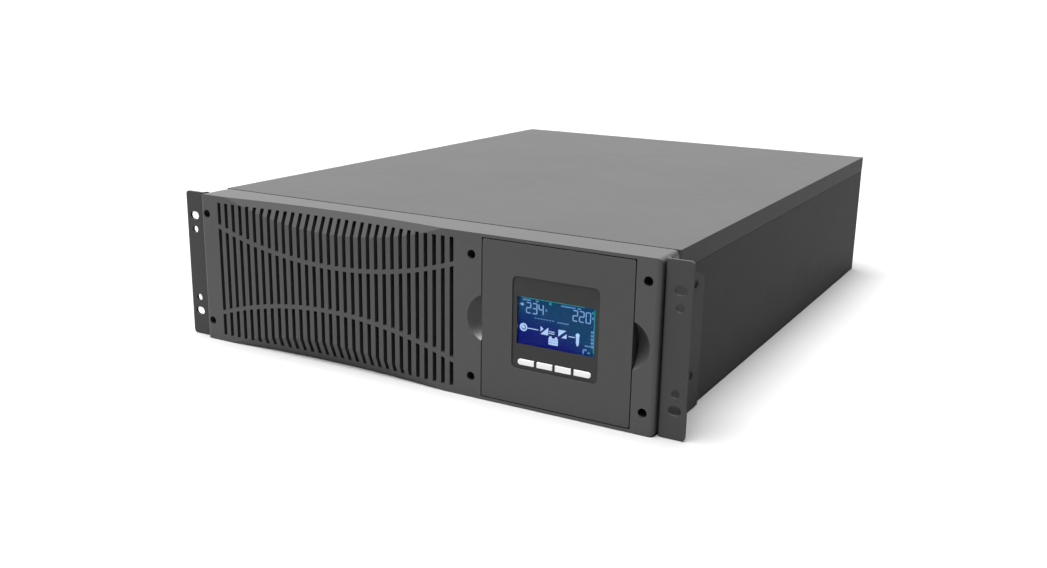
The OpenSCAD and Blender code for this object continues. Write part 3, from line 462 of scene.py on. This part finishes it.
def plates(name, shapes, front, thick):
    """One mesh of thin plates. A shape is a list of points (x, z), in units from the middle."""
    bm = bmesh.new()
    for shape in shapes:
        bm.faces.new([bm.verts.new((lcd_middle.x + x * GRAPHIC_UNIT, front,
                                    lcd_middle.z + z * GRAPHIC_UNIT)) for x, z in shape])
    # Shapes that meet edge to edge become one plate, with no wall between them
    bmesh.ops.remove_doubles(bm, verts=bm.verts, dist=SAME_PLACE)
    bmesh.ops.recalc_face_normals(bm, faces=bm.faces)
    made = bmesh.ops.extrude_face_region(bm, geom=bm.faces[:])
    moved = [v for v in made["geom"] if isinstance(v, bmesh.types.BMVert)]
    bmesh.ops.translate(bm, verts=moved, vec=(0, thick, 0))
    bmesh.ops.recalc_face_normals(bm, faces=bm.faces)
    return new_piece(name, bm)


def bar(x, z, w, h):
    return [(x - w / 2, z - h / 2), (x + w / 2, z - h / 2),
            (x + w / 2, z + h / 2), (x - w / 2, z + h / 2)]


def on_circle(x, z, r, i):
    """The point at one of a circle's corners, counted from its right-hand side."""
    angle = 2 * math.pi * i / ROUND_SIDES
    return (x + r * math.cos(angle), z + r * math.sin(angle))


def disc(x, z, r):
    return [on_circle(x, z, r, i) for i in range(ROUND_SIDES)]


def ring(x, z, outer, inner):
    return [[on_circle(x, z, inner, i), on_circle(x, z, outer, i),
             on_circle(x, z, outer, i + 1), on_circle(x, z, inner, i + 1)]
            for i in range(ROUND_SIDES)]


def digit(sign, x, z):
    """The strokes of a digit whose lower left corner is at x, z."""
    shapes = []
    for key in DIGITS[sign]:
        (x0, z0), (x1, z1) = STROKES[key]
        cx = ((x + x0 * DIGIT_WIDTH) + (x + x1 * DIGIT_WIDTH)) / 2
        cz = ((z + z0 * DIGIT_HEIGHT / 2) + (z + z1 * DIGIT_HEIGHT / 2)) / 2
        if x0 == x1:
            shapes.append(bar(cx, cz, STROKE_WIDTH, DIGIT_HEIGHT / 2 - STROKE_GAP))
        else:
            shapes.append(bar(cx, cz, DIGIT_WIDTH - STROKE_GAP, STROKE_WIDTH))
    return shapes


def number(signs, x, z):
    return [s for i, sign in enumerate(signs) for s in digit(sign, x + i * DIGIT_PITCH, z)]


def make_display_graphics():
    """Two readings, bars in place of captions, a flow chart, a battery, a level scale and lamps."""
    white = lit_mark("mark_white", (0.5, 0.68, 0.95), 1.0)
    pale = lit_mark("mark_pale", (0.12, 0.3, 0.6), 0.9)
    soft_blue = lit_mark("mark_soft_blue", (0.26, 0.46, 0.8), 0.9)
    teal = lit_mark("mark_teal", (0.02, 0.34, 0.36), 0.9)

    figures = number("234", -24.5, 5.6) + number("220", 12.4, 5.6)
    figures += [disc(-28, 11.2, 1.1), bar(-28.1, 11.2, 3.0, 0.9)]

    captions = [bar(-24.5, 14.9, 6.5, 1.0), bar(-16, 14.9, 2.0, 1.0), bar(8.5, 14.6, 11, 1.0),
                bar(17, 14.6, 2.5, 1.0)]
    captions += [bar(-17 + i * 2.3, 2.6, 1.5, 0.55) for i in range(7)]
    captions += [bar(1 + i * 1.5, 2.2, 1.0, 0.9) for i in range(6)]
    captions += [bar(-8.6, 9.5, 1.1, 1.6), bar(27.6, 9.5, 1.1, 1.6)]

    # Mains in, the first converter, the second converter and the load, with lines between them
    flow = ring(-26.6, -5.6, 3.0, 1.9) + [disc(-26.6, -5.6, 1.1), bar(-27.4, -4.8, 1.2, 2.2)]
    flow += [bar(-19.0, -5.8, 8.6, 0.55), bar(-4.0, -5.4, 4.5, 0.5), bar(-4.0, -6.8, 4.5, 0.5)]
    flow += [[(-12.8, -8.4), (-6.8, -8.4), (-6.8, -2.8)],
             [(-12.8, -6.6), (-12.8, -2.6), (-10.6, -4.4)]]
    flow += [[(1.4, -2.8), (7.4, -2.8), (1.4, -7.8)], [(3.8, -8.4), (7.8, -8.4), (7.8, -5.0)]]
    flow += [bar(12.0, -6.4, 5.2, 0.55), bar(16.4, -8.0, 2.2, 5.4), disc(16.4, -4.6, 1.5),
             bar(16.4, -11.2, 1.4, 1.8)]

    # A battery: its box in three bars, with two poles
    store = [bar(-2.6, -12.4, 7.4, 1.6), bar(-2.6, -14.2, 7.4, 1.4), bar(-2.6, -10.7, 7.4, 1.2),
             bar(-4.8, -9.4, 1.6, 1.2), bar(-0.4, -9.4, 1.6, 1.2)]

    level = [bar(27.6, -0.5 - i * 2.6, 2.0, 1.6) for i in range(5)]
    level += [bar(22.4, -14.0, 2.4, 1.2), bar(24.0, -11.0, 4.0, 0.8), bar(21.0, -15.6, 0.9, 3.0),
              bar(25.2, -15.8, 1.8, 1.0)]
    lamps = [disc(-5.6, 14.8, 1.0), disc(27.4, 13.2, 0.8)]
    edge = [bar(28.9, 0, 0.8, 31.0), bar(-4.0, 16.3, 50.0, 0.35)]

    front = lcd_low.y - MARK_FRONT * MM
    for name, shapes, mark in (("display_figures", figures, soft_blue),
                               ("display_captions", captions, pale),
                               ("display_flow_chart", flow, white),
                               ("display_store_icon", store, white),
                               ("display_level_bars", level, pale),
                               ("display_lamps", lamps, teal),
                               ("display_edge_glow", edge, teal)):
        piece = plates(name, shapes, front, MARK_THICKNESS * MM)
        finish_piece(piece, "panel", mark)


make_display_graphics()

# ---------------------------------------------------------------- stage and light

# The floor's half width and how far it lies below the object, in metres
FLOOR_HALF = 12.0
FLOOR_DROP = 0.0002

# The scale and the two tones of the floor's pattern
FLOOR_SCALE = 3
FLOOR_DARK = 0.225
FLOOR_LIGHT = 0.24

# The sky is white where a direction's +X part is below the first number, and dim where it is
# above the second
WHITE_BELOW = 0.05
DIM_ABOVE = 0.6
DIM_LEVEL = 0.05
WORLD_STRENGTH = 1.12

# The sun's spread is in degrees
SUN_TOWARDS = (-0.12, -0.12, 1.0)
SUN_STRENGTH = 14.0
SUN_SPREAD = 45


def make_stage():
    n = Nodes("floor")
    n.feed(n.blend(n.noise(FLOOR_SCALE), grey(FLOOR_DARK), grey(FLOOR_LIGHT)), "Base Color")
    n.shade({"Roughness": 0.8, "Specular IOR Level": 0.1})
    mesh = bpy.data.meshes.new("floor")
    mesh.from_pydata([(-FLOOR_HALF, -FLOOR_HALF, 0), (FLOOR_HALF, -FLOOR_HALF, 0),
                      (FLOOR_HALF, FLOOR_HALF, 0), (-FLOOR_HALF, FLOOR_HALF, 0)],
                     [], [(0, 1, 2, 3)])
    mesh.materials.append(n.material)
    floor = bpy.data.objects.new("floor", mesh)
    floor.location.z = -FLOOR_DROP
    bpy.context.scene.collection.objects.link(floor)


def make_sun():
    """Very soft light from nearly straight above."""
    data = bpy.data.lights.new("soft_sun", "SUN")
    data.energy = SUN_STRENGTH
    data.angle = math.radians(SUN_SPREAD)
    light = bpy.data.objects.new("soft_sun", data)
    light.rotation_euler = (-Vector(SUN_TOWARDS)).to_track_quat("-Z", "Y").to_euler()
    bpy.context.scene.collection.objects.link(light)


def make_world():
    """A white studio that is dimmer towards +X."""
    world = bpy.data.worlds.new("studio")
    world.use_nodes = True
    tree = world.node_tree
    background = tree.nodes["Background"]
    parts = tree.nodes.new("ShaderNodeSeparateXYZ")
    place = tree.nodes.new("ShaderNodeTexCoord").outputs["Generated"]
    tree.links.new(place, parts.inputs["Vector"])
    ramp = tree.nodes.new("ShaderNodeValToRGB")
    set_ramp(ramp, ((WHITE_BELOW, grey(1.0)), (DIM_ABOVE, grey(DIM_LEVEL))))
    tree.links.new(parts.outputs["X"], ramp.inputs["Fac"])
    tree.links.new(ramp.outputs["Color"], background.inputs["Color"])
    background.inputs["Strength"].default_value = WORLD_STRENGTH
    bpy.context.scene.world = world


make_stage()
make_world()
bpy.context.scene.view_settings.view_transform = "Standard"
make_sun()
